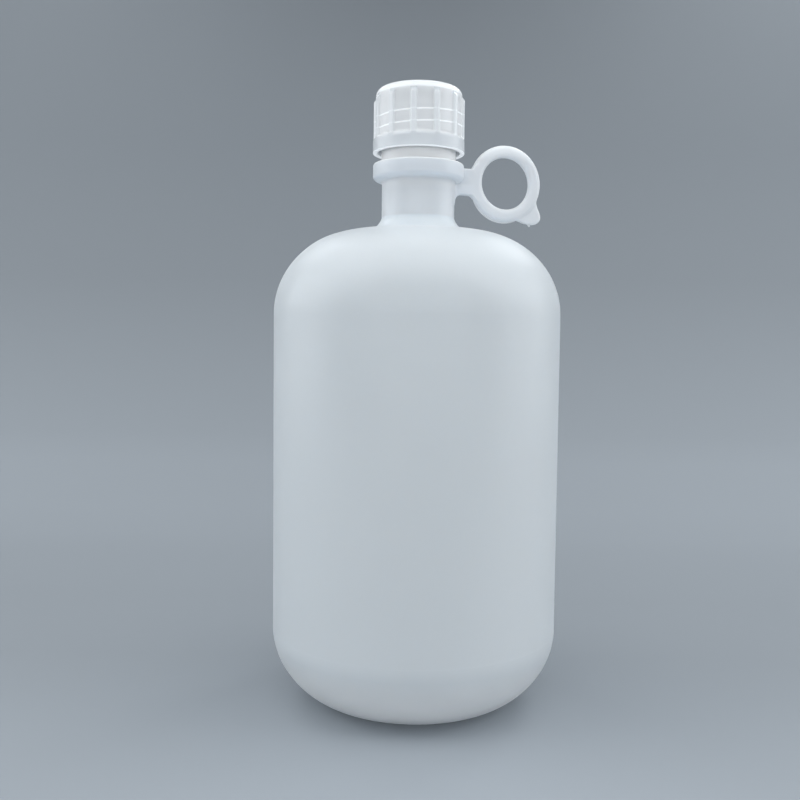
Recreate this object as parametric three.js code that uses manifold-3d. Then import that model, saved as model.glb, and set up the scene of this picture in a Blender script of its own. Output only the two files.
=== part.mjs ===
// Round five-litre laboratory bottle with a finger ring on the neck, an inner stopper and a screw cap.
// Millimetres, +Z up. The origin is on the resting plane under the middle of the base; the ring points along +X.
import * as THREE from 'three';
import { mergeVertices } from 'three/addons/utils/BufferGeometryUtils.js';
import Module from 'manifold-3d';

const wasm = await Module();
wasm.setup();

// Body
const BODY_R = 82.5;          // outside radius of the straight wall
const WALL = 1.8;             // blow-moulded wall
const FOOT_IN_R = 40.0;       // flat ring that the bottle stands on
const FOOT_OUT_R = 46.0;
const PUSH_UP = 6.0;          // height of the hollow under the base
const BASE_RUN = 38.3;        // rounded base edge, across
const BASE_RISE = 40.9;       // rounded base edge, up
const BASE_POWER = 1.81;      // 2 would be a true ellipse
const WALL_TOP_Z = 222.6;
const SHOULDER_RUN = 50.05;
const SHOULDER_RISE = 47.8;

// Neck, collar and mouth
const NECK_R = 20.9;          // below the collar
const NECK_FILLET = 8.3;
const FILLET_POWER = 1.5;     // flatter than a round, so it leaves the neck at a visible edge
const BORE_R = 18.3;
const BORE_FLARE = 11.0;
const COLLAR_R = 26.1;
const COLLAR_LOW_Z = 299.0;
const COLLAR_TOP_Z = 308.9;
const COLLAR_LOW_RUN = 4.2;   // rounded underside of the collar, across
const COLLAR_LOW_RISE = 2.8;  // and up
const COLLAR_TOP_ROUND = 0.8;
const FINISH_R = 21.35;       // root of the neck thread
const MOUTH_Z = 346.7;

// Screw thread, single start, right hand
const PITCH = 6.5;
const THREAD_ROOT = 3.8;      // width at the root
const THREAD_CREST = 1.6;     // width at the crest
const THREAD_STEPS = 28;      // segments in one turn
const RUN_OUT = 0.12;         // part of a turn over which each end fades
const NECK_THREAD = { r: FINISH_R, height: 1.5, z: 326.0, startDeg: 97, turns: 2.25 };
const CAP_THREAD = { r: 23.25, height: -1.45, z: 325.0, startDeg: 221.5, turns: 2.4 };

// Finger ring, its stem and its tab, all in the plane Y = 0
const RING_X = 54.0;
const RING_Z = 301.5;
const RING_HOLE_R = 15.0;
const RING_OUT_R = 22.3;
const RING_THICK = 6.0;
const STEM_TOP_Z = 308.6;
const STEM_LOW_Z = 293.5;
const STEM_THICK = 5.2;
const STEM_ROUND = 1.2;
const STEM_FILLET = 5.0;
const TAB_THICK = 3.0;
const TAB_ROUND = 0.6;
const TAB_FROM_DEG = -24;
const TAB_TO_DEG = -70;
const TAB_REACH = 31.0;       // from the middle of the ring to the tab's blunt corner

// Screw cap
const CAP_LOW_Z = 315.0;
const CAP_TOP_Z = 351.4;
const CAP_R = 24.7;           // between the ribs
const CAP_IN_R = 23.25;
const CAP_CORNER = 4.2;
const CAP_ROOF = 2.4;
const BAND_R = 26.3;
const BAND_IN_R = 23.7;
const BAND_TOP_Z = 322.0;
const BAND_SLOPE = 2.0;
const RIBS = 12;
const RIB_R = 26.15;
const RIB_WIDTH = 3.2;
const RIB_TOP_Z = 347.0;
const RIB_PHASE_DEG = 5;
const SNAP_R = 21.75;         // bead that holds the stopper's flange in the cap
const SNAP_Z = 346.1;

// Inner stopper
const PLUG_R = 17.9;
const PLUG_WALL = 1.5;
const PLUG_LOW_Z = 334.5;
const FLANGE_R = 22.1;
const FLANGE_LOW_Z = 347.0;
const FLANGE_TOP_Z = 348.6;

const BODY_SEGMENTS = 48;
const CAP_SEGMENTS = 40;

const rad = (deg) => (deg * Math.PI) / 180;
const mid = (a, b) => (a + b) / 2;

// Points of a rounded corner: centre, half-axes, first and last angle in degrees.
// power 2 is an ellipse, a lower power is flatter.
function corner(cx, cy, a, b, fromDeg, toDeg, steps, power = 2) {
  const points = [];
  for (let i = 0; i <= steps; i += 1) {
    const t = rad(fromDeg + ((toDeg - fromDeg) * i) / steps);
    const c = Math.cos(t);
    const s = Math.sin(t);
    const x = cx + a * Math.sign(c) * Math.abs(c) ** (2 / power);
    const y = cy + b * Math.sign(s) * Math.abs(s) ** (2 / power);
    points.push(new THREE.Vector2(x, y));
  }
  return points;
}

const at = (x, y) => new THREE.Vector2(x, y);

// A solid from a closed geometry, turned inside out if its faces point inwards.
function solid(geometry) {
  geometry.deleteAttribute('normal');
  geometry.deleteAttribute('uv');
  const merged = mergeVertices(geometry, 1e-4);
  const p = merged.attributes.position.array;
  const faces = [];
  let volume = 0;
  for (let i = 0; i < merged.index.count; i += 3) {
    const [a, b, c] = [0, 1, 2].map((k) => merged.index.getX(i + k));
    if (a === b || b === c || c === a) continue;
    faces.push([a, b, c]);
    const [u, v, w] = [a, b, c].map((k) => new THREE.Vector3().fromArray(p, 3 * k));
    volume += u.dot(v.cross(w));
  }
  const triVerts = Uint32Array.from(faces.flatMap(([a, b, c]) => (volume > 0 ? [a, b, c] : [a, c, b])));
  const made = new wasm.Mesh({ numProp: 3, vertProperties: new Float32Array(p), triVerts });
  return new wasm.Manifold(made);
}

// A profile of (radius, height) points turned about Z.
function turned(profile, segments) {
  return solid(new THREE.LatheGeometry(profile, segments).rotateX(Math.PI / 2));
}

// An outline drawn in X and Z, with its middle on Y = 0 and rounded edges. The outline is the widest section.
function plate(shape, thick, round) {
  const geometry = new THREE.ExtrudeGeometry(shape, {
    depth: thick - 2 * round,
    bevelThickness: round,
    bevelSize: round,
    bevelOffset: -round,
    bevelSegments: 2,
  });
  return solid(geometry.translate(0, 0, round - thick / 2).rotateX(Math.PI / 2));
}

// A helical ridge that stands on a cylinder of radius r: outwards, or inwards where its height is negative.
function thread({ r, height, z, startDeg, turns }) {
  const root = -Math.sign(height) * 0.6;
  const section = new THREE.Shape([
    at(root, -THREAD_ROOT / 2),
    at(0, -THREAD_ROOT / 2),
    at(height, -THREAD_CREST / 2),
    at(height, THREAD_CREST / 2),
    at(0, THREAD_ROOT / 2),
    at(root, THREAD_ROOT / 2),
  ]);
  const steps = Math.round(THREAD_STEPS * turns);
  const ridge = new THREE.ExtrudeGeometry(section, { depth: 1, steps, bevelEnabled: false });
  const p = ridge.attributes.position;
  for (let i = 0; i < p.count; i += 1) {
    const turn = p.getZ(i) * turns;
    const fade = Math.min(1, (turn + 0.02) / RUN_OUT, (turns - turn + 0.02) / RUN_OUT);
    const out = p.getX(i) === root ? root : root + (p.getX(i) - root) * fade;
    const angle = rad(startDeg) + turn * 2 * Math.PI;
    p.setXYZ(i, (r + out) * Math.cos(angle), (r + out) * Math.sin(angle), z + p.getY(i) + PITCH * turn);
  }
  return solid(ridge);
}

function bottleShell() {
  const baseR = BODY_R - BASE_RUN;
  const crownR = BODY_R - SHOULDER_RUN;
  const crownZ = WALL_TOP_Z + SHOULDER_RISE;
  const flareZ = crownZ - WALL + BORE_FLARE;
  const cut = COLLAR_TOP_ROUND;
  const outside = [
    at(0, PUSH_UP + 1),
    at(FOOT_IN_R * 0.6, PUSH_UP),
    at(FOOT_IN_R - 3, 1.6),
    at(FOOT_IN_R, 0),
    at(FOOT_OUT_R, 0),
    ...corner(baseR, BASE_RISE, BASE_RUN, BASE_RISE, -80, 0, 7, BASE_POWER),
    ...corner(crownR, WALL_TOP_Z, SHOULDER_RUN, SHOULDER_RISE, 0, 90, 8),
    ...corner(NECK_R + NECK_FILLET, crownZ + NECK_FILLET, NECK_FILLET, NECK_FILLET, 270, 180, 4, FILLET_POWER),
    at(NECK_R, COLLAR_LOW_Z),
    ...corner(COLLAR_R - COLLAR_LOW_RUN, COLLAR_LOW_Z + COLLAR_LOW_RISE, COLLAR_LOW_RUN, COLLAR_LOW_RISE, -90, 0, 3),
    at(COLLAR_R, COLLAR_TOP_Z - cut),
    at(COLLAR_R - cut, COLLAR_TOP_Z),
    at(FINISH_R, COLLAR_TOP_Z),
    at(FINISH_R, MOUTH_Z - 0.6),
    at(FINISH_R - 0.6, MOUTH_Z),
  ];
  const inside = [
    at(BORE_R + 0.6, MOUTH_Z),
    at(BORE_R, MOUTH_Z - 0.6),
    ...corner(BORE_R + BORE_FLARE, flareZ, BORE_FLARE, BORE_FLARE, 180, 270, 4),
    ...corner(crownR, WALL_TOP_Z, SHOULDER_RUN - WALL, SHOULDER_RISE - WALL, 90, 0, 7),
    ...corner(baseR, BASE_RISE, BASE_RUN - WALL, BASE_RISE - WALL, 0, -80, 6, BASE_POWER),
    at(FOOT_IN_R, WALL),
    at(FOOT_IN_R * 0.6 - 1, PUSH_UP + WALL),
    at(0, PUSH_UP + 1 + WALL),
  ];
  return turned([...outside, ...inside], BODY_SEGMENTS);
}

function fingerRing() {
  const middleR = mid(RING_HOLE_R, RING_OUT_R);
  const halfWidth = (RING_OUT_R - RING_HOLE_R) / 2;
  const section = corner(middleR, 0, halfWidth, RING_THICK / 2, 0, 360, 10, 2.4);
  section[section.length - 1].copy(section[0]);
  const ring = new THREE.LatheGeometry(section, 36);
  return solid(ring.translate(RING_X, 0, RING_Z));
}

// The web between neck and ring: flat on top, with a fillet down to the neck.
function stem() {
  const ringSide = RING_X - mid(RING_HOLE_R, RING_OUT_R);
  const fillet = corner(NECK_R + STEM_FILLET + 0.6, STEM_LOW_Z - STEM_FILLET, STEM_FILLET, STEM_FILLET, 180, 90, 4);
  const outline = new THREE.Shape([
    at(NECK_R - 1.4, STEM_TOP_Z),
    at(NECK_R - 1.4, STEM_LOW_Z - STEM_FILLET - 1),
    ...fillet,
    at(ringSide - 2.5, STEM_LOW_Z),
    at(ringSide, STEM_LOW_Z - 2),
    at(ringSide, STEM_TOP_Z + 2),
    at(ringSide - 2.5, STEM_TOP_Z),
  ]);
  return plate(outline, STEM_THICK, STEM_ROUND);
}

// The blunt tab on the ring's outer edge, below and away from the neck.
function tab() {
  const inR = mid(RING_HOLE_R, RING_OUT_R);
  const polar = (r, deg) => at(RING_X + r * Math.cos(rad(deg)), RING_Z + r * Math.sin(rad(deg)));
  const outline = new THREE.Shape([
    polar(inR, TAB_FROM_DEG),
    polar(RING_OUT_R + 0.3, TAB_FROM_DEG - 3),
    polar(RING_OUT_R + 3.2, TAB_FROM_DEG - 9),
    polar(TAB_REACH - 1.4, TAB_FROM_DEG - 14),
    polar(TAB_REACH - 0.2, TAB_FROM_DEG - 18),
    polar(TAB_REACH, TAB_FROM_DEG - 22),
    polar(TAB_REACH - 0.7, TAB_FROM_DEG - 27),
    polar(TAB_REACH - 2.0, TAB_FROM_DEG - 31),
    polar(RING_OUT_R + 0.3, TAB_TO_DEG),
    polar(inR, TAB_TO_DEG - 4),
  ]);
  return plate(outline, TAB_THICK, TAB_ROUND);
}

function bottle() {
  return bottleShell().add(thread(NECK_THREAD)).add(stem()).add(fingerRing()).add(tab());
}

function capShell() {
  const profile = [
    at(BAND_IN_R, CAP_LOW_Z),
    at(BAND_R, CAP_LOW_Z),
    at(BAND_R, BAND_TOP_Z),
    at(CAP_R, BAND_TOP_Z + BAND_SLOPE),
    ...corner(CAP_R - CAP_CORNER, CAP_TOP_Z - CAP_CORNER, CAP_CORNER, CAP_CORNER, 0, 90, 4),
    at(0, CAP_TOP_Z),
    at(0, CAP_TOP_Z - CAP_ROOF),
    at(CAP_IN_R - 1, CAP_TOP_Z - CAP_ROOF),
    at(CAP_IN_R, CAP_TOP_Z - CAP_ROOF - 1),
    at(CAP_IN_R, SNAP_Z + 0.5),
    at(SNAP_R, SNAP_Z + 0.3),
    at(SNAP_R, SNAP_Z - 0.3),
    at(CAP_IN_R, SNAP_Z - 0.9),
    at(CAP_IN_R, BAND_TOP_Z + BAND_SLOPE),
    at(BAND_IN_R, BAND_TOP_Z),
    at(BAND_IN_R, CAP_LOW_Z),
  ];
  return turned(profile, CAP_SEGMENTS);
}

// One grip rib, from the band up to a sloping end under the rounded top.
function rib(deg) {
  const outline = new THREE.Shape([
    at(CAP_R - 0.7, BAND_TOP_Z - 1),
    at(RIB_R, BAND_TOP_Z - 1),
    at(RIB_R, RIB_TOP_Z - 2),
    at(CAP_R + 0.2, RIB_TOP_Z),
    at(CAP_R - 0.7, RIB_TOP_Z),
  ]);
  const geometry = new THREE.ExtrudeGeometry(outline, { depth: RIB_WIDTH, bevelEnabled: false });
  return solid(geometry.translate(0, 0, -RIB_WIDTH / 2).rotateX(Math.PI / 2).rotateZ(rad(deg)));
}

function screwCap() {
  let cap = capShell().add(thread(CAP_THREAD));
  for (let i = 0; i < RIBS; i += 1) cap = cap.add(rib(RIB_PHASE_DEG + (i * 360) / RIBS));
  return cap;
}

function innerStopper() {
  return turned([
    at(0, PLUG_LOW_Z),
    at(PLUG_R - 1.2, PLUG_LOW_Z),
    at(PLUG_R, PLUG_LOW_Z + 1.2),
    at(PLUG_R, FLANGE_LOW_Z),
    at(FLANGE_R, FLANGE_LOW_Z),
    at(FLANGE_R, FLANGE_TOP_Z),
    at(PLUG_R - PLUG_WALL + 0.6, FLANGE_TOP_Z),
    at(PLUG_R - PLUG_WALL, FLANGE_TOP_Z - 0.6),
    at(PLUG_R - PLUG_WALL, PLUG_LOW_Z + PLUG_WALL),
    at(0, PLUG_LOW_Z + PLUG_WALL),
  ], CAP_SEGMENTS);
}

// A named mesh in its own place, from a solid and its material.
function piece(name, made, material) {
  const { numProp, vertProperties, triVerts } = made.getMesh();
  const geometry = new THREE.BufferGeometry();
  const position = new Float32Array((vertProperties.length / numProp) * 3);
  for (let i = 0; i < position.length / 3; i += 1) {
    for (let k = 0; k < 3; k += 1) position[3 * i + k] = vertProperties[numProp * i + k];
  }
  geometry.setAttribute('position', new THREE.BufferAttribute(position, 3));
  geometry.setIndex(new THREE.BufferAttribute(new Uint32Array(triVerts), 1));
  geometry.computeVertexNormals();
  const mesh = new THREE.Mesh(geometry, material);
  mesh.name = name;
  return mesh;
}

const milkyPolyethylene = new THREE.MeshStandardMaterial({ color: 0xdfe6ec, roughness: 0.45, metalness: 0 });
const clearPolypropylene = new THREE.MeshStandardMaterial({ color: 0xe4e9ee, roughness: 0.32, metalness: 0 });
const softPolyethylene = new THREE.MeshStandardMaterial({ color: 0xeef1f3, roughness: 0.5, metalness: 0 });

const group = new THREE.Group();
group.add(piece('bottle', bottle(), milkyPolyethylene));
group.add(piece('inner_stopper', innerStopper(), softPolyethylene));
group.add(piece('screw_cap', screwCap(), clearPolypropylene));

export default group;
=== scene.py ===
import math
from collections import namedtuple

import bmesh
import bpy
import numpy as np
from mathutils import Matrix, Quaternion, Vector


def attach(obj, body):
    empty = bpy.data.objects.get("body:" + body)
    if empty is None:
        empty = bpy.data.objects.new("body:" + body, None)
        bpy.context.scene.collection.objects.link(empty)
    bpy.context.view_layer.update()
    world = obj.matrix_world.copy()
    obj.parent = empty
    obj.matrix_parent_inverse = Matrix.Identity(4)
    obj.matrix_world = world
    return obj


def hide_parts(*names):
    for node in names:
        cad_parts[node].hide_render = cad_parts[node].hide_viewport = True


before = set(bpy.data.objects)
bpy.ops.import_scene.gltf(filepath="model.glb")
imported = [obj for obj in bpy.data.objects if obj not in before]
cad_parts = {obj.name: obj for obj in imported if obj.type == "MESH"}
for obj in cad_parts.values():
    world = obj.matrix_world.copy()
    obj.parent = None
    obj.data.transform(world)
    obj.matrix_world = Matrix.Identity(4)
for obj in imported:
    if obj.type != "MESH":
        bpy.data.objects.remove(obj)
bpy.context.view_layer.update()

MM = 0.001
TURN = 2 * math.pi

# ---- sizes in millimetres, the same as the solids' ----

# blown body
WALL_R = 82.33                          # the mould lines stand up to 0.14 proud of it
WALL = 1.8
FOOT_IN, FOOT_OUT, PUSH_UP = 40.0, 46.0, 6.0
FOOT_ROUND, FOOT_ROUND_RUN, PUSH_UP_RUN = 0.8, 1.5, 7.5   # from the foot ring up into the push-up
BASE_RUN, BASE_RISE, BASE_POWER = 38.0, 40.9, 1.81
WALL_TOP, SHOULDER_RUN, SHOULDER_RISE = 222.6, 49.75, 47.8
CROWN = WALL_TOP + SHOULDER_RISE
MARK_PROUD = 0.02                       # the faint marks where the straight wall ends

# neck, collar and threaded finish
NECK_R, NECK_FILLET, FILLET_POWER = 20.9, 8.3, 1.5
BORE_R, BORE_FLARE = 18.3, 11.0
COLLAR_R, COLLAR_LOW, COLLAR_TOP, COLLAR_EDGE = 26.1, 299.0, 308.9, 1.1
COLLAR_UNDER_RUN, COLLAR_UNDER_RISE, COLLAR_UNDER_POWER = 4.2, 2.8, 1.75
COLLAR_ROOT_RUN, COLLAR_ROOT_RISE = 0.95, 2.4
FINISH_R, FINISH_CORNER, MOUTH, LIP_ROUND = 21.35, 1.0, 346.7, 0.9

# threads: the height and azimuth where each starts, how many turns it makes and how far it stands out
Thread = namedtuple("Thread", "bottom start turns height")
NECK_THREAD = Thread(326.0, math.radians(97.0), 2.25, 1.5)
CAP_THREAD = Thread(325.0, math.radians(221.5), 2.4, 1.45)
PITCH, THREAD_ROOT, THREAD_CREST = 6.5, 3.8, 1.6
NECK_THREAD_LOW, NECK_THREAD_TOP, CAP_THREAD_TOP = 323.5, MOUTH - 1.5, 344.5
THREAD_RUN_OUT = 0.10                   # the share of a turn over which a thread's end dies away

# mould lines
FLASH_WIDTH, FLASH_WALL, FLASH_SHOULDER, FLASH_RISE = 0.38, 0.14, 0.12, 0.15
FLASH_STARTS, FLASH_FADES, FLASH_ENDS = (4.0, 14.0), (300.0, 344.0), 322
FLASH_TURNS_UP, FLASH_UP_ENDS = (240.0, 266.0), 272     # over the shoulder it stands upwards too
PINCH_OFF = 0.8

# finger ring, its stem and its tab
RING_X, RING_Z, RING_HOLE, RING_OUT, RING_THICK = 54.0, 301.5, 15.0, 22.3, 6.0
RING_POWER = 2.6                        # its section is a rounded rectangle
STEM_TOP, STEM_LOW, STEM_THICK = 308.6, 293.5, 5.9
STEM_FLARE, STEM_FLARE_RUN = 2.6, 3.4   # how much thicker it grows into the neck, and over what length
STEM_INSIDE = 19.6                      # the stem starts inside the neck's wall
TAB_THICK, NIB_THICK = 3.2, 1.0
RING_FLASH, RING_FLASH_THICK, RING_FLASH_START, RING_FLASH_END = 1.2, 0.35, -158, -70
MELT_VOXEL, MELT_SMOOTHING = 0.42, 24

# screw cap
CAP_LOW, CAP_TOP, CAP_R, CAP_IN, CAP_CORNER = 315.0, 351.4, 24.7, 23.25, 4.2
ROOF_THICK, ROOF_CORNER = 2.4, 1.2
SNAP_BEAD = [(CAP_IN, 346.7), (21.85, 346.35), (21.75, 346.1), (21.85, 345.85), (CAP_IN, 345.2)]
BAND_R, BAND_IN, BAND_TOP = 26.3, 23.7, 322.0
RIBS, RIB_R, RIB_WIDTH, RIB_TOP, RIB_PHASE = 12, 26.15, 3.2, 347.0, math.radians(5.0)
RIB_RUN_OUT, RIB_FLANK = 2.6, (RIB_WIDTH / 2 - 0.5, RIB_WIDTH / 2 + 0.7)

# inner stopper
PLUG_R, PLUG_LOW, PLUG_WALL = 17.9, 334.5, 1.5
PLUG_BETWEEN = PLUG_R - 0.25            # the plug between its two sealing beads
SEALING_BEADS = [(PLUG_BETWEEN, 337.2), (PLUG_R, 338.0), (PLUG_R, 338.6), (PLUG_BETWEEN, 339.4),
                 (PLUG_BETWEEN, 341.6), (PLUG_R, 342.4), (PLUG_R, 343.0), (PLUG_BETWEEN, 343.8)]
FLANGE_R, FLANGE_LOW, FLANGE_TOP, FLANGE_ROUND = 22.1, 347.0, 348.6, 0.5

# ---- the camera, in the object's frame: the ring points right and away from it ----

VIEW_AZ = math.radians(-108.0)
CAM_DISTANCE, CAM_HEIGHT = 542.6, 206.7
CAM_PITCH, CAM_YAW, CAM_ROLL = 0.0612, 0.0169, 0.0108
FOCAL_PIXELS, PICTURE_PIXELS, SENSOR = 930.0, 800.0, 36.0
right = Vector((math.cos(VIEW_AZ + math.pi / 2), math.sin(VIEW_AZ + math.pi / 2), 0))
away = Vector((-math.cos(VIEW_AZ), -math.sin(VIEW_AZ), 0))


# ---- curves ----

def arc(cx, cy, a, b, start, end, steps, power=2.0):
    """Points of an ellipse, or of a flatter curve where power is under 2; angles in degrees."""
    t = np.radians(np.linspace(start, end, steps + 1))
    c, s = np.cos(t), np.sin(t)
    return np.stack([cx + a * np.sign(c) * np.abs(c) ** (2 / power),
                     cy + b * np.sign(s) * np.abs(s) ** (2 / power)], 1)


def line(p, q, step=1.0):
    """Points from p to q about a step apart, without q."""
    p, q = np.array(p, float), np.array(q, float)
    n = max(1, int(round(np.hypot(*(q - p)) / step)))
    return p + (q - p) * np.linspace(0, 1, n, endpoint=False)[:, None]


def rising(x, low, high):
    """0 up to low and 1 from high, with a smooth step between."""
    t = np.clip((x - low) / (high - low), 0, 1)
    return t * t * (3 - 2 * t)


def falling(x, low, high):
    """1 up to low and 0 from high, with a smooth step between."""
    return rising(-x, -high, -low)


def helix(az, z, thread):
    """How much of the thread's full height stands at each azimuth and height, 0 to 1."""
    past, flank = 0.02, (THREAD_CREST / 2 - 0.25, THREAD_ROOT / 2 + 0.1)
    total = np.zeros(np.broadcast(az, z).shape)
    for k in range(-1, int(thread.turns) + 2):
        turn = np.mod(az - thread.start, TURN) / TURN + k
        inside = rising(turn, -past, THREAD_RUN_OUT)
        inside = inside * falling(turn, thread.turns - THREAD_RUN_OUT, thread.turns + past)
        off = np.abs(z - thread.bottom - PITCH * turn)
        total = np.maximum(total, inside * falling(off, *flank))
    return total


# ---- meshes ----

def meshed(name, points, faces):
    """A smooth-shaded object, from points in millimetres."""
    mesh = bpy.data.meshes.new(name)
    mesh.from_pydata((np.asarray(points, float) * MM).tolist(), [], faces)
    obj = bpy.data.objects.new(name, mesh)
    bpy.context.collection.objects.link(obj)
    bm = bmesh.new()
    bm.from_mesh(mesh)
    bmesh.ops.recalc_face_normals(bm, faces=bm.faces)
    bm.to_mesh(mesh)
    bm.free()
    mesh.polygons.foreach_set("use_smooth", [True] * len(mesh.polygons))
    return obj


def turned(name, profile, azimuths, shift=None):
    """A solid of revolution. profile is (radius, height) in order, and starts and ends on the axis.
    shift(az, r, z) gives what is added to each point's radius and height."""
    profile = np.asarray(profile, float)
    body = profile[1:-1]
    az = np.asarray(azimuths)[:, None]
    r, z = np.repeat(body[None, :, 0], len(az), 0), np.repeat(body[None, :, 1], len(az), 0)
    if shift:
        dr, dz = shift(az, r, z)
        r, z = r + dr, z + dz
    points = np.stack([r * np.cos(az), r * np.sin(az), z], -1).reshape(-1, 3)
    points = np.concatenate([points, [(0, 0, profile[0, 1]), (0, 0, profile[-1, 1])]])
    n, m = len(azimuths), len(body)
    first_pole, last_pole = n * m, n * m + 1
    starts = [(i * m, (i + 1) % n * m) for i in range(n)]
    faces = [(a + k, b + k, b + k + 1, a + k + 1) for a, b in starts for k in range(m - 1)]
    faces += [(first_pole, b, a) for a, b in starts]
    faces += [(last_pole, a + m - 1, b + m - 1) for a, b in starts]
    return meshed(name, points, faces)


def apply_modifiers(obj):
    """Turns what the modifiers show into the object's own mesh."""
    graph = bpy.context.evaluated_depsgraph_get()
    mesh = bpy.data.meshes.new_from_object(obj.evaluated_get(graph))
    obj.modifiers.clear()
    old, obj.data = obj.data, mesh
    bpy.data.meshes.remove(old)
    mesh.name = obj.name


def join(obj, tool):
    """Adds tool's volume to obj, and removes tool."""
    mod = obj.modifiers.new("join", "BOOLEAN")
    mod.operation, mod.solver, mod.object = "UNION", "EXACT", tool
    apply_modifiers(obj)
    bpy.data.objects.remove(tool, do_unlink=True)


# ---- the bottle ----

def parting_azimuths():
    """Even steps, with finer ones beside the parting plane, where the flash line stands."""
    even = np.radians(np.arange(0, 360, 1.5))
    fine = np.radians([0.12, 0.25, 0.4, 0.6, 0.9])
    extra = np.concatenate([a + s * fine for a in (0.0, math.pi) for s in (1, -1)])
    return np.unique(np.round(np.mod(np.concatenate([even, extra]), TURN), 6))


def bottle_profile():
    """The outside from the middle of the base up to the lip, and the inside from the lip down."""
    base_r, crown_r = WALL_R - BASE_RUN, WALL_R - SHOULDER_RUN
    hollow_r = FOOT_IN - FOOT_ROUND_RUN - PUSH_UP_RUN
    flare = CROWN - WALL + BORE_FLARE
    finish_mesh_from = 323                  # finer steps from here up, for the thread
    base = [
        [(0, PUSH_UP + 1)],
        line((8, PUSH_UP + 0.9), (hollow_r, PUSH_UP), 3.0),
        arc(hollow_r, FOOT_ROUND, PUSH_UP_RUN, PUSH_UP - FOOT_ROUND, 90, 0, 6),
        arc(FOOT_IN, FOOT_ROUND, FOOT_ROUND_RUN, FOOT_ROUND, 180, 270, 3),
        [(FOOT_OUT - 2, 0)],
        arc(base_r, BASE_RISE, BASE_RUN, BASE_RISE, -84, 0, 44, BASE_POWER)[:-1]]
    wall = [
        [(WALL_R, BASE_RISE), (WALL_R + MARK_PROUD, BASE_RISE + 0.35), (WALL_R, BASE_RISE + 0.7)],
        line((WALL_R, BASE_RISE + 2), (WALL_R, WALL_TOP - 1.5), 6.0),
        [(WALL_R, WALL_TOP - 0.9), (WALL_R + MARK_PROUD, WALL_TOP - 0.35)],
        arc(crown_r, WALL_TOP, SHOULDER_RUN, SHOULDER_RISE, 0, 90, 48)]
    neck = [
        arc(NECK_R + NECK_FILLET, CROWN + NECK_FILLET, NECK_FILLET, NECK_FILLET, 268, 182, 18,
            FILLET_POWER),
        line((NECK_R, CROWN + NECK_FILLET + 0.6), (NECK_R, COLLAR_LOW - COLLAR_ROOT_RISE), 2.0),
        arc(NECK_R + COLLAR_ROOT_RUN, COLLAR_LOW - COLLAR_ROOT_RISE, COLLAR_ROOT_RUN, COLLAR_ROOT_RISE,
            180, 90, 6)[:-1],
        arc(COLLAR_R - COLLAR_UNDER_RUN, COLLAR_LOW + COLLAR_UNDER_RISE, COLLAR_UNDER_RUN,
            COLLAR_UNDER_RISE, -90, 0, 10, COLLAR_UNDER_POWER),
        arc(COLLAR_R - COLLAR_EDGE, COLLAR_TOP - COLLAR_EDGE, COLLAR_EDGE, COLLAR_EDGE, 0, 90, 5)]
    finish = [
        arc(FINISH_R + FINISH_CORNER, COLLAR_TOP + FINISH_CORNER, FINISH_CORNER, FINISH_CORNER,
            270, 180, 4),
        line((FINISH_R, COLLAR_TOP + 2), (FINISH_R, finish_mesh_from), 1.5),
        line((FINISH_R, finish_mesh_from), (FINISH_R, MOUTH - 1), 0.3),
        arc(FINISH_R - LIP_ROUND, MOUTH - LIP_ROUND, LIP_ROUND, LIP_ROUND, 0, 90, 5)]
    inside = [
        arc(BORE_R + LIP_ROUND, MOUTH - LIP_ROUND, LIP_ROUND, LIP_ROUND, 90, 180, 5),
        line((BORE_R, MOUTH - 2), (BORE_R, flare), 3.0),
        arc(BORE_R + BORE_FLARE, flare, BORE_FLARE, BORE_FLARE, 180, 270, 12),
        arc(crown_r, WALL_TOP, SHOULDER_RUN - WALL, SHOULDER_RISE - WALL, 90, 0, 32),
        line((WALL_R - WALL, WALL_TOP - 6), (WALL_R - WALL, BASE_RISE + 2), 12.0),
        arc(base_r, BASE_RISE, BASE_RUN - WALL, BASE_RISE - WALL, 0, -84, 24, BASE_POWER),
        [(FOOT_IN, WALL), (FOOT_IN - 2.5, 3.4), (FOOT_IN - 6, PUSH_UP + 1)],
        [(FOOT_IN - 10, PUSH_UP + WALL), (12, PUSH_UP + WALL + 0.9), (0, PUSH_UP + WALL + 1)]]
    outside = base + wall + neck + finish
    return (np.concatenate([np.asarray(p, float) for p in outside]),
            np.concatenate([np.asarray(p, float) for p in inside]))


def bottle_shell():
    """Base, wall, shoulder, neck, collar and threaded finish, with its mould lines, as one hollow solid."""
    outside, inside = bottle_profile()
    outer = slice(0, len(outside) - 1)      # the first point is a pole

    def shift(az, r, z):
        dr, dz = np.zeros(r.shape), np.zeros(r.shape)
        ro, zo = r[:, outer], z[:, outer]
        on_finish = (zo > NECK_THREAD_LOW) * (zo < NECK_THREAD_TOP)
        dr[:, outer] += NECK_THREAD.height * helix(az, zo, NECK_THREAD) * on_finish
        # flash line where the two mould halves met
        from_plane = np.abs(ro * np.sin(az))
        ridge = np.exp(-(from_plane / FLASH_WIDTH) ** 2)
        reach = rising(zo, *FLASH_STARTS) * falling(zo, *FLASH_FADES) * (zo < FLASH_ENDS)
        steep = falling(zo, *FLASH_TURNS_UP)
        dr[:, outer] += ridge * reach * (FLASH_WALL * steep + FLASH_SHOULDER * (1 - steep))
        dz[:, outer] += ridge * FLASH_RISE * (1 - steep) * (zo < FLASH_UP_ENDS)
        # pinch-off line across the hollow under the base
        under = (zo < PUSH_UP + 1) * (ro < FOOT_IN - 3)
        dz[:, outer] -= PINCH_OFF * ridge * under
        return dr, dz

    return turned("bottle_visual", np.concatenate([outside, inside]), parting_azimuths(), shift)


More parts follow.
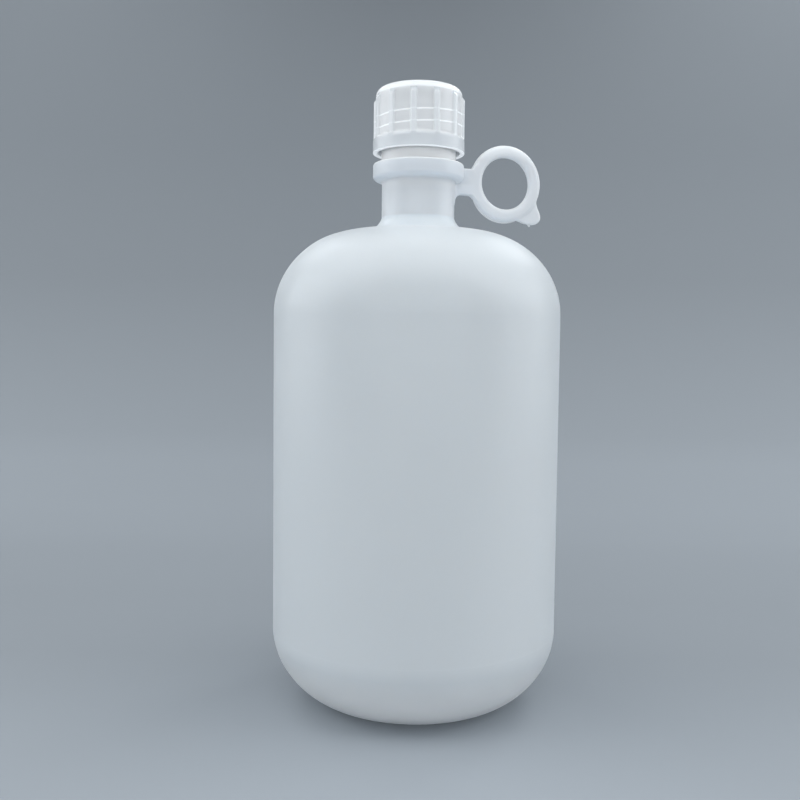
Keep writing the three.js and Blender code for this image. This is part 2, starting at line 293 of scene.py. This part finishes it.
def ring_torus(around=160, across=40):
    """The plain ring, about the Y axis through (RING_X, RING_Z)."""
    a = np.linspace(0, TURN, around, endpoint=False)[:, None]
    middle, half_width = (RING_HOLE + RING_OUT) / 2, (RING_OUT - RING_HOLE) / 2
    section = arc(middle, 0, half_width, RING_THICK / 2, 0, 360, across, RING_POWER)[:-1]
    r, y = section[None, :, 0], section[None, :, 1]
    points = np.stack([RING_X + r * np.cos(a), y + 0 * a, RING_Z + r * np.sin(a)], -1).reshape(-1, 3)
    faces = [(i * across + k, (i + 1) % around * across + k,
              (i + 1) % around * across + (k + 1) % across, i * across + (k + 1) % across)
             for i in range(around) for k in range(across)]
    return meshed("finger_ring", points, faces)


def slab(name, outline, thick):
    """A plate in the ring's plane: outline is a list of (x, z), and thick(x) its thickness."""
    n = len(outline)
    points = [(x, side * thick(x) / 2, z) for side in (-1, 1) for x, z in outline]
    faces = [tuple(range(n)), tuple(range(2 * n - 1, n - 1, -1))]
    faces += [(i, (i + 1) % n, n + (i + 1) % n, n + i) for i in range(n)]
    return meshed(name, points, faces)


def polar(r, deg):
    """A point (x, z) in the ring's plane, by its distance and direction from the ring's middle."""
    return RING_X + r * math.cos(math.radians(deg)), RING_Z + r * math.sin(math.radians(deg))


def stem_outline():
    """From inside the neck's wall to the ring, with a fillet below."""
    top = [(x, STEM_TOP) for x in np.arange(STEM_INSIDE, 32.4, 0.4)]
    top += [(33.0, STEM_TOP + 0.5), (34.2, STEM_TOP + 2.2), (36.0, STEM_TOP + 4.0)]
    low = [(36.0, STEM_LOW - 3.6), (34.0, STEM_LOW - 1.6), (32.4, STEM_LOW - 0.3)]
    low += [(x, STEM_LOW) for x in np.arange(31.6, 27.0, -0.5)]
    low += [tuple(p) for p in arc(NECK_R + 5.6, STEM_LOW - 5.0, 5.0, 5.0, 90, 180, 12)]
    low += [(NECK_R + 0.1, STEM_LOW - 7.5), (STEM_INSIDE, STEM_LOW - 7.5)]
    return top + low


def tab_outline():
    """The blunt tab on the ring's lower outer side."""
    middle = (RING_HOLE + RING_OUT) / 2
    return [polar(r, deg) for r, deg in (
        (middle, -22), (RING_OUT, -25.5), (23.6, -30), (25.8, -33.5), (28.6, -37), (30.2, -40),
        (30.9, -43), (30.9, -46.5), (30.3, -50), (29.2, -54), (26.0, -61.5), (RING_OUT, -71),
        (middle, -75))]


def nib_outline():
    """What is left of the gate on the tab's edge."""
    return [polar(r, deg) for r, deg in ((27, -57.4), (29.3, -57.0), (29.3, -55.4), (27, -55.0))]


def flash_outline():
    """The thin skin round the ring's lower edge, widest in the middle."""
    inset, span = 1.6, RING_FLASH_END - RING_FLASH_START
    ends = RING_FLASH_START + 0.1, RING_FLASH_END - 0.1
    outer = [polar(RING_OUT + RING_FLASH * math.sin((deg - RING_FLASH_START) / span * math.pi) ** 0.5, deg)
             for deg in np.linspace(*ends, 40)]
    return outer + [polar(RING_OUT - inset, deg) for deg in np.linspace(*ends[::-1], 40)]


def finger_ring():
    """Ring, stem and tab melted into one, with soft inner corners, then the nib and the flash."""
    ring = ring_torus()
    neck_side = NECK_R + STEM_FLARE_RUN

    def stem_thick(x):
        return STEM_THICK + STEM_FLARE * max(0.0, (neck_side - x) / STEM_FLARE_RUN) ** 2

    join(ring, slab("stem", stem_outline(), stem_thick))
    join(ring, slab("tab", tab_outline(), lambda x: TAB_THICK))
    melt = ring.modifiers.new("melt", "REMESH")
    melt.mode, melt.voxel_size, melt.use_smooth_shade = "VOXEL", MELT_VOXEL * MM, True
    apply_modifiers(ring)
    soft = ring.modifiers.new("soft", "SMOOTH")
    soft.factor, soft.iterations = 0.5, MELT_SMOOTHING
    apply_modifiers(ring)
    join(ring, slab("nib", nib_outline(), lambda x: NIB_THICK))
    join(ring, slab("flash", flash_outline(), lambda x: RING_FLASH_THICK))
    return ring


# ---- the closures ----

def cap_azimuths():
    """Even steps, with more at the ribs' flanks."""
    half = RIB_WIDTH / 2 / RIB_R
    beside = np.array([0.4, 0.65, 0.8, 0.95, 1.1, 1.3, 1.5])
    fine = np.concatenate([-beside[::-1], [0], beside]) * half
    between = np.array([0.22, 0.3, 0.4, 0.5, 0.6, 0.7, 0.78]) * TURN / RIBS
    steps = np.concatenate([RIB_PHASE + k * TURN / RIBS + np.concatenate([fine, between])
                            for k in range(RIBS)])
    return np.unique(np.round(np.mod(steps, TURN), 6))


def screw_cap():
    """Roof, ribbed skirt and plain band, with the thread and the snap bead inside."""
    lip = 0.4
    ceiling = CAP_TOP - ROOF_THICK
    outside = np.concatenate([
        arc(BAND_IN + 0.5, CAP_LOW + lip, 0.5, lip, 180, 270, 3),
        arc(BAND_R - lip, CAP_LOW + lip, lip, lip, 270, 360, 3),
        line((BAND_R, CAP_LOW + 1), (BAND_R, BAND_TOP - 0.3), 1.2),
        # the ledge above the plain band
        [(BAND_R - 0.05, BAND_TOP), (BAND_R - 0.5, BAND_TOP + 0.7), (CAP_R + 0.4, BAND_TOP + 1.5)],
        [(CAP_R + 0.1, BAND_TOP + 1.9)],
        line((CAP_R, BAND_TOP + 2.3), (CAP_R, RIB_TOP - RIB_RUN_OUT), 1.5),
        line((CAP_R, RIB_TOP - RIB_RUN_OUT), (CAP_R, CAP_TOP - CAP_CORNER), 0.35),
        arc(CAP_R - CAP_CORNER, CAP_TOP - CAP_CORNER, CAP_CORNER, CAP_CORNER, 0, 86, 14),
        line((CAP_R - CAP_CORNER - 1, CAP_TOP), (3, CAP_TOP - 0.25), 4.0),
        [(0, CAP_TOP - 0.3)]])
    inside = np.concatenate([
        [(0, ceiling)], line((3, ceiling), (CAP_IN - ROOF_CORNER, ceiling), 4.0),
        arc(CAP_IN - ROOF_CORNER, ceiling - ROOF_CORNER, ROOF_CORNER, ROOF_CORNER, 90, 0, 4),
        SNAP_BEAD,                          # it holds the stopper's flange
        line((CAP_IN, 344.8), (CAP_IN, BAND_TOP + 2), 0.3),
        [(BAND_IN - 0.1, BAND_TOP + 0.6), (BAND_IN, BAND_TOP)],
        line((BAND_IN, BAND_TOP - 1), (BAND_IN, CAP_LOW + 0.8), 1.5)])
    inner = slice(0, len(inside) - 1)       # the first point is a pole
    outer = slice(len(inside) - 1, None)

    def shift(az, r, z):
        dr = np.zeros(r.shape)
        ri, zi, ro, zo = r[:, inner], z[:, inner], r[:, outer], z[:, outer]
        on_bore = (zi < CAP_THREAD_TOP) * (ri > CAP_IN - 0.05)
        dr[:, inner] -= CAP_THREAD.height * helix(az, zi, CAP_THREAD) * on_bore
        off = np.mod(az - RIB_PHASE + math.pi / RIBS, TURN / RIBS) - math.pi / RIBS
        rib = falling(np.abs(off) * RIB_R, *RIB_FLANK)
        along = falling(zo, RIB_TOP - RIB_RUN_OUT, RIB_TOP) * (zo > BAND_TOP - 0.2)
        dr[:, outer] += rib * along * np.clip(RIB_R - ro, 0, 2)
        return dr, np.zeros(r.shape)

    return turned("cap_visual", np.concatenate([inside, outside]), cap_azimuths(), shift)


def stopper():
    """A cup-shaped plug with two shallow sealing beads and a flange."""
    profile = np.concatenate([
        [(0, PLUG_LOW)], line((3, PLUG_LOW), (PLUG_R - 1.6, PLUG_LOW), 3.0),
        arc(PLUG_R - 1.6, PLUG_LOW + 1.6, 1.6, 1.6, 270, 360, 6),
        SEALING_BEADS,
        [(PLUG_BETWEEN, FLANGE_LOW - 0.4), (PLUG_R + 0.1, FLANGE_LOW)],
        line((PLUG_R + 1, FLANGE_LOW), (FLANGE_R - FLANGE_ROUND, FLANGE_LOW), 1.2),
        arc(FLANGE_R - FLANGE_ROUND, FLANGE_LOW + FLANGE_ROUND, FLANGE_ROUND, FLANGE_ROUND, 270, 360, 3),
        arc(FLANGE_R - FLANGE_ROUND, FLANGE_TOP - FLANGE_ROUND, FLANGE_ROUND, FLANGE_ROUND, 0, 90, 3),
        line((FLANGE_R - 1.4, FLANGE_TOP), (PLUG_R - 0.7, FLANGE_TOP), 1.2),
        arc(PLUG_R - 0.7, FLANGE_TOP - 0.8, 0.8, 0.8, 90, 180, 4),
        line((PLUG_R - PLUG_WALL, FLANGE_TOP - 1.5), (PLUG_R - PLUG_WALL, PLUG_LOW + 3), 2.0),
        arc(PLUG_R - 3.0, PLUG_LOW + 3.0, 1.5, 1.5, 0, -90, 4),
        line((PLUG_R - 4, PLUG_LOW + PLUG_WALL), (3, PLUG_LOW + PLUG_WALL), 3.0),
        [(0, PLUG_LOW + PLUG_WALL)]])
    return turned("stopper_visual", profile, np.radians(np.arange(0, 360, 3.0)))


# ---- materials ----

WALL_DEEP, WALL_PALE, WALL_PATCH = (0.762, 0.829, 0.892), (0.795, 0.859, 0.919), (0.771, 0.844, 0.912)
# the foot, neck, under-collar, finish, ring and rib tones below paint light and shade, not the plastic's
# own colour
FOOT_PAINTED_LIGHT, NECK_PAINTED_SHADE, UNDER_COLLAR_PAINTED_LIGHT = (0.965, 0.985, 1.0), (0.708, 0.729, 0.755), (0.88, 0.88, 0.88)
FINISH_PAINTED_LIGHT, RING_PAINTED_SHADE, RING_TOP_PAINTED_HIGHLIGHT = (0.945, 0.950, 0.957), (0.742, 0.749, 0.760), (0.915, 0.925, 0.935)
CAP_DEEP, CAP_PALE, CAP_THREAD_SHADE = (0.950, 0.960, 0.972), (0.968, 0.975, 0.984), (0.905, 0.925, 0.945)
BAND_TONE, RIB_PAINTED_SHADE, RIB_TOP_PAINTED_SHADE = (0.795, 0.812, 0.830), (0.878, 0.892, 0.906), (0.70, 0.72, 0.74)
STOPPER_DEEP, STOPPER_PALE = (0.86, 0.88, 0.89), (0.90, 0.91, 0.92)
# colours and strengths of painted glow: emission on plastic that is no lamp
MILKY_GLOW, CLEAR_GLOW = (0.84, 0.93, 1.0), (0.93, 0.97, 1.0)
FOOT_GLOW, CREST_GLOW, ROOF_GLOW, RIM_GLOW, PANEL_GLOW = 0.04, 0.31, 0.18, 0.30, 0.02
BLACK, PAPER_TONE = (0.0, 0.0, 0.0), (0.329, 0.353, 0.379)
NOISE_ROUGHNESS = 0.55
CAP_OPACITY = 0.85
SHARP_ANGLE = math.radians(42)          # edges sharper than this stay sharp


class Nodes:
    """A short way to write a shader's node tree. Places are object coordinates, given in millimetres."""

    def __init__(self, name):
        self.material = bpy.data.materials.new(name)
        self.material.use_nodes = True
        self.tree = self.material.node_tree
        self.shader = next(n for n in self.tree.nodes if n.type == "BSDF_PRINCIPLED")
        self.coordinates = self.tree.nodes.new("ShaderNodeTexCoord").outputs["Object"]

    def add(self, kind, inputs=None, **settings):
        node = self.tree.nodes.new(kind)
        for key, value in settings.items():
            setattr(node, key, value)
        for key, value in (inputs or {}).items():
            self.put(node.inputs[key], value)
        return node

    def put(self, socket, value):
        if hasattr(value, "node"):
            self.tree.links.new(value, socket)
        elif socket.type == "RGBA":
            socket.default_value = (*value, 1)
        else:
            socket.default_value = value

    def set(self, **inputs):
        for key, value in inputs.items():
            self.put(self.shader.inputs[key.replace("_", " ")], value)

    def xyz(self):
        return self.add("ShaderNodeSeparateXYZ", {"Vector": self.coordinates}).outputs

    def along(self, direction):
        """How far a point lies from the origin in a level direction, in metres."""
        inputs = {0: self.coordinates, 1: tuple(direction)}
        return self.add("ShaderNodeVectorMath", inputs, operation="DOT_PRODUCT").outputs["Value"]

    def noise(self, size, detail=3.0, stretch=1.0):
        place = self.add("ShaderNodeMapping", {"Vector": self.coordinates, "Scale": (1, 1, stretch)})
        inputs = {"Vector": place.outputs["Vector"], "Scale": size, "Detail": detail,
                  "Roughness": NOISE_ROUGHNESS}
        return self.add("ShaderNodeTexNoise", inputs).outputs["Fac"]

    def maths(self, operation, a, b=0.0):
        return self.add("ShaderNodeMath", {0: a, 1: b}, operation=operation).outputs[0]

    def times(self, a, b):
        return self.maths("MULTIPLY", a, b)

    def plus(self, a, b):
        return self.maths("ADD", a, b)

    def minus(self, a, b):
        return self.maths("SUBTRACT", a, b)

    def absolute(self, a):
        return self.maths("ABSOLUTE", a)

    def ramp(self, value, low, high, out_low=0.0, out_high=1.0):
        return self.add("ShaderNodeMapRange", {"Value": value, "From Min": low, "From Max": high,
                                               "To Min": out_low, "To Max": out_high}).outputs["Result"]

    def above(self, place, low, high, most=1.0):
        """0 up to low and most from high."""
        return self.ramp(place, low * MM, high * MM, 0.0, most)

    def below(self, place, low, high, most=1.0):
        """most up to low and 0 from high."""
        return self.ramp(place, low * MM, high * MM, most, 0.0)

    def mixed(self, factor, a, b):
        return self.add("ShaderNodeMix", {0: factor, 6: a, 7: b}, data_type="RGBA").outputs[2]

    def bump(self, height, strength, distance, normal=None):
        """distance is in millimetres."""
        inputs = {"Height": height, "Strength": strength, "Distance": distance * MM}
        if normal is not None:
            inputs["Normal"] = normal
        return self.add("ShaderNodeBump", inputs).outputs["Normal"]


def polyethylene():
    """The bottle's milky plastic, with painted light and shade that change with height, and a painted glow
    at the foot.
    """
    m = Nodes("milky_polyethylene")
    xyz = m.xyz()
    x, z = xyz["X"], xyz["Z"]
    flow, patches = m.noise(9.0, 2.0, 0.35), m.noise(26.0)
    colour = m.mixed(m.ramp(flow, 0.3, 0.7), WALL_DEEP, WALL_PALE)
    colour = m.mixed(m.ramp(patches, 0.4, 0.75, 0.0, 0.5), colour, WALL_PATCH)
    # painted light: the foot's tight curve is made paler, for the light that gathers there
    colour = m.mixed(m.below(z, 10, 34), colour, FOOT_PAINTED_LIGHT)
    # painted shade: the thick neck and collar are darker, for the less light they let through than the
    # blown wall
    colour = m.mixed(m.above(z, 277.8, 279.0), colour, NECK_PAINTED_SHADE)
    # painted light: the neck just under the collar is made a little paler, against the collar's shade
    painted_light_under_collar = m.times(m.above(z, 292.5, 296.5), m.below(z, 298.8, 299.8))
    colour = m.mixed(m.times(painted_light_under_collar, 0.35), colour, UNDER_COLLAR_PAINTED_LIGHT)
    # painted light: the finish is made paler, for the light that reaches it through the cap
    colour = m.mixed(m.above(z, 308.0, 308.7), colour, FINISH_PAINTED_LIGHT)
    # painted shade on the ring, stem and tab, with a painted highlight along the ring's top
    ring = m.times(m.above(x, 26.2, 34.0), m.above(z, 270.5, 271.5))
    colour = m.mixed(ring, colour, m.mixed(m.above(z, 314, 324), RING_PAINTED_SHADE, RING_TOP_PAINTED_HIGHLIGHT))
    grain = m.bump(m.noise(2600.0, 2.0), 0.16, 0.04)
    normal = m.bump(m.noise(38.0, 2.0, 0.5), 0.25, 0.6, grain)
    # painted glow at the foot: emission, though the plastic is no lamp
    m.set(Base_Color=colour, Roughness=m.ramp(patches, 0.3, 0.7, 0.33, 0.43), IOR=1.53,
          Specular_IOR_Level=0.45, Normal=normal, Subsurface_Weight=0.85, Subsurface_Scale=0.006,
          Subsurface_Radius=(1.0, 1.05, 1.1), Emission_Color=MILKY_GLOW,
          Emission_Strength=m.below(z, 12, 34, FOOT_GLOW))
    return m.material


def polypropylene():
    """The cap's clearer plastic, with painted shade, and painted glints and glow for the light that comes
    out of it.
    """
    m = Nodes("clear_polypropylene")
    haze = m.noise(60.0)
    xyz = m.xyz()
    z = xyz["Z"]
    turn = m.maths("DIVIDE", m.maths("ARCTAN2", xyz["Y"], xyz["X"]), TURN)

    # the neck's thread painted on as shade and glints, as it shows through the cap: phase is 0 at a crest,
    # and half a pitch is 0.5
    rise = m.maths("DIVIDE", m.minus(z, NECK_THREAD.bottom * MM), PITCH * MM)
    phase = m.maths("FRACT", m.plus(m.minus(rise, turn), NECK_THREAD.start / TURN + 0.5))
    phase = m.minus(phase, 0.5)
    threaded = m.times(m.above(z, 326.5, 327.5), m.below(z, 337.5, 338.5))
    rib = m.minus(m.maths("FRACT", m.plus(m.times(turn, RIBS), 0.5 - RIB_PHASE * RIBS / TURN)), 0.5)
    off_rib = m.ramp(m.absolute(rib), 0.12, 0.16, 0.25, 1.0)
    crest = m.times(m.times(m.ramp(m.absolute(phase), 0.035, 0.085, 1.0, 0.0), threaded), off_rib)
    shade = m.times(m.times(m.ramp(phase, -0.32, -0.05), threaded), 0.35)

    colour = m.mixed(m.ramp(haze, 0.3, 0.7), CAP_DEEP, CAP_PALE)
    colour = m.mixed(shade, colour, CAP_THREAD_SHADE)
    colour = m.mixed(m.below(z, 322.2, 323.4), colour, BAND_TONE)
    # painted shade: the ribs are darker, and darker still at their tops, against the light and highlights
    # they catch
    on_rib = m.times(m.ramp(off_rib, 0.25, 1.0, 1.0, 0.0),
                     m.times(m.above(z, 322.6, 324.0), m.below(z, 347.0, 347.4)))
    colour = m.mixed(on_rib, colour, m.mixed(m.above(z, 344.3, 345.5), RIB_PAINTED_SHADE, RIB_TOP_PAINTED_SHADE))

    # painted glints and glow: emission stands in for light led through the wall, at the thread's crests,
    # the roof's lower edge, the rim and faintly above the plain band
    roof = m.times(m.above(z, 347.0, 347.5), m.ramp(z, 348.4 * MM, 349.6 * MM, 1.0, 0.3))
    glow = m.plus(m.times(crest, CREST_GLOW), m.times(roof, ROOF_GLOW))
    glow = m.plus(glow, m.below(z, 315.3, 315.6, RIM_GLOW))
    glow = m.plus(glow, m.above(z, 322.2, 323.2, PANEL_GLOW))
    m.set(Base_Color=colour, Roughness=m.ramp(haze, 0.3, 0.7, 0.17, 0.25), IOR=1.49, Alpha=CAP_OPACITY,
          Normal=m.bump(m.noise(1800.0, 2.0), 0.10, 0.03), Subsurface_Weight=1.0,
          Subsurface_Scale=m.ramp(z, 346 * MM, 348 * MM, 0.003, 0.0008), Subsurface_Radius=(1.0, 1.0, 1.0),
          Emission_Color=CLEAR_GLOW, Emission_Strength=glow)
    return m.material


def soft_polyethylene():
    """The stopper's plastic."""
    m = Nodes("soft_polyethylene")
    patches = m.noise(80.0)
    colour = m.mixed(m.ramp(patches, 0.3, 0.7), STOPPER_DEEP, STOPPER_PALE)
    m.set(Base_Color=colour, Roughness=m.ramp(patches, 0.3, 0.7, 0.42, 0.52), IOR=1.51,
          Normal=m.bump(m.noise(2200.0, 2.0), 0.12, 0.04), Subsurface_Weight=0.7, Subsurface_Scale=0.004)
    return m.material


def backdrop_paper():
    """A paper with painted light and shade: palest in front and where it starts to rise, deepest high up in
    the middle.
    """
    m = Nodes("backdrop_paper")
    height, depth, aside = m.xyz()["Z"], m.along(away), m.absolute(m.along(right))
    tone = m.plus(m.ramp(height, 0.0, 0.06, 1.0, 1.1), m.ramp(height, 0.08, 0.30, 0.0, -0.18))
    tone = m.plus(tone, m.ramp(depth, -0.13, 0.06, 0.16, 0.0))
    tone = m.plus(tone, m.times(m.ramp(aside, 0.05, 0.33, -0.10, 0.0), m.ramp(height, 0.46, 0.72)))
    tone = m.plus(tone, m.times(m.ramp(depth, 0.20, 0.42, 0.0, 0.12), m.ramp(height, 0.02, 0.09, 1.0, 0.0)))
    colour = m.mixed(tone, BLACK, PAPER_TONE)
    colour.node.clamp_factor = False
    m.set(Base_Color=colour, Roughness=0.82, Normal=m.bump(m.noise(900.0, 4.0), 0.12, 0.1))
    return m.material


# ---- the object ----

bottle = bottle_shell()
join(bottle, finger_ring())
cap = screw_cap()
plug = stopper()

for piece, node, body, slot, material in (
        (bottle, "bottle", "bottle", "milky_polyethylene", polyethylene()),
        (plug, "inner_stopper", "inner_stopper", "soft_polyethylene", soft_polyethylene()),
        (cap, "screw_cap", "screw_cap", "clear_polypropylene", polypropylene())):
    piece.data.materials.clear()
    piece.data.materials.append(material)
    piece.data.polygons.foreach_set("use_smooth", [True] * len(piece.data.polygons))
    bpy.context.view_layer.objects.active = piece
    piece.select_set(True)
    bpy.ops.object.shade_smooth_by_angle(angle=SHARP_ANGLE)
    piece.select_set(False)
    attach(piece, body)
    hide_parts(node)


# ---- the studio, in metres and in the camera's own directions ----

FLOOR_FRONT, BACKDROP, SWEEP_R, BACKDROP_TOP, FLOOR_HALF = -1.15, 0.85, 0.5, 2.6, 1.5
LAMP_COLOUR = (0.93, 0.97, 1.0)
AIR_COLOUR, AIR_STRENGTH = (0.62, 0.68, 0.74), 0.27

# where each soft light is, what it points at, its width and height, and its power
SOFTBOXES = {
    "ceil_front": ((0.0, -0.38, 0.90), (0.0, -0.38, 0.0), (2.4, 0.44), 5.0),
    "ceil_middle": ((0.0, 0.05, 0.90), (0.0, 0.05, 0.0), (1.6, 0.4), 2.65),
    "left_wall": ((-1.3, 0.1, 0.55), (0.0, 0.1, 0.2), (1.2, 0.9), 5.95),
    "right_wall": ((1.3, 0.1, 0.55), (0.0, 0.1, 0.2), (1.2, 0.9), 6.1),
    "back_left": ((-0.62, 0.66, 1.0), (0.0, 0.0, 0.2), (0.4, 0.36), 1.1),
    "back_right": ((0.62, 0.66, 1.0), (0.0, 0.0, 0.2), (0.4, 0.36), 1.8),
    "low_front": ((0.0, -1.1, 0.35), (0.0, 0.0, 0.05), (1.6, 0.4), 4.75)}


def studio(x, y, z):
    """x to the camera's right, y away from it, z up, from the middle of the base."""
    return right * x + away * y + Vector((0, 0, z))


def sweep():
    """Floor that curves up into a backdrop."""
    path = [(y, 0.0) for y in (FLOOR_FRONT, -0.8, -0.4, 0.1, BACKDROP - SWEEP_R)]
    path += [(BACKDROP - SWEEP_R + SWEEP_R * math.sin(t), SWEEP_R - SWEEP_R * math.cos(t))
             for t in np.radians(np.linspace(5, 90, 18))]
    path += [(BACKDROP, 1.2), (BACKDROP, BACKDROP_TOP)]
    across = np.linspace(-FLOOR_HALF, FLOOR_HALF, 9)
    points = [studio(x, y, z) for y, z in path for x in across]
    n = len(across)
    faces = [(i * n + k, i * n + k + 1, (i + 1) * n + k + 1, (i + 1) * n + k)
             for i in range(len(path) - 1) for k in range(n - 1)]
    mesh = bpy.data.meshes.new("sweep")
    mesh.from_pydata([tuple(p) for p in points], [], faces)
    obj = bpy.data.objects.new("sweep", mesh)
    bpy.context.collection.objects.link(obj)
    mesh.polygons.foreach_set("use_smooth", [True] * len(mesh.polygons))
    mesh.materials.append(backdrop_paper())


def softbox(name, where, aim, size, power):
    """A rectangular soft light that the camera does not see, with its long side level."""
    lamp = bpy.data.lights.new(name, "AREA")
    lamp.shape, lamp.size, lamp.size_y = "RECTANGLE", size[0], size[1]
    lamp.energy, lamp.color = power, LAMP_COLOUR
    obj = bpy.data.objects.new(name, lamp)
    bpy.context.collection.objects.link(obj)
    obj.location = studio(*where)
    facing = (studio(*aim) - obj.location).normalized()
    side = right if abs(facing.dot(right)) < 0.7 else away
    up = side.cross(facing).normalized()
    side = facing.cross(up)
    obj.rotation_euler = Matrix((side, up, -facing)).transposed().to_euler()
    obj.visible_camera = False


sweep()
for name, setting in SOFTBOXES.items():
    softbox(name, *setting)

world = bpy.data.worlds.new("studio_air")
world.use_nodes = True
world.node_tree.nodes["Background"].inputs["Color"].default_value = (*AIR_COLOUR, 1)
world.node_tree.nodes["Background"].inputs["Strength"].default_value = AIR_STRENGTH
bpy.context.scene.world = world

lens = bpy.data.cameras.new("camera")
lens.sensor_width, lens.sensor_fit = SENSOR, "HORIZONTAL"
lens.lens = FOCAL_PIXELS / PICTURE_PIXELS * SENSOR
lens.clip_start, lens.clip_end = 0.01, 50.0
camera = bpy.data.objects.new("camera", lens)
bpy.context.collection.objects.link(camera)
camera.location = studio(0, -CAM_DISTANCE * MM, CAM_HEIGHT * MM)
level = away * math.cos(CAM_YAW) - right * math.sin(CAM_YAW)
look = level * math.cos(CAM_PITCH) - Vector((0, 0, math.sin(CAM_PITCH)))
camera.rotation_mode = "QUATERNION"
camera.rotation_quaternion = look.to_track_quat("-Z", "Y") @ Quaternion(Vector((0, 0, 1)), CAM_ROLL)
bpy.context.scene.camera = camera

bpy.context.scene.view_settings.view_transform = "Standard"
bpy.context.scene.view_settings.look = "None"

bpy.context.view_layer.update()
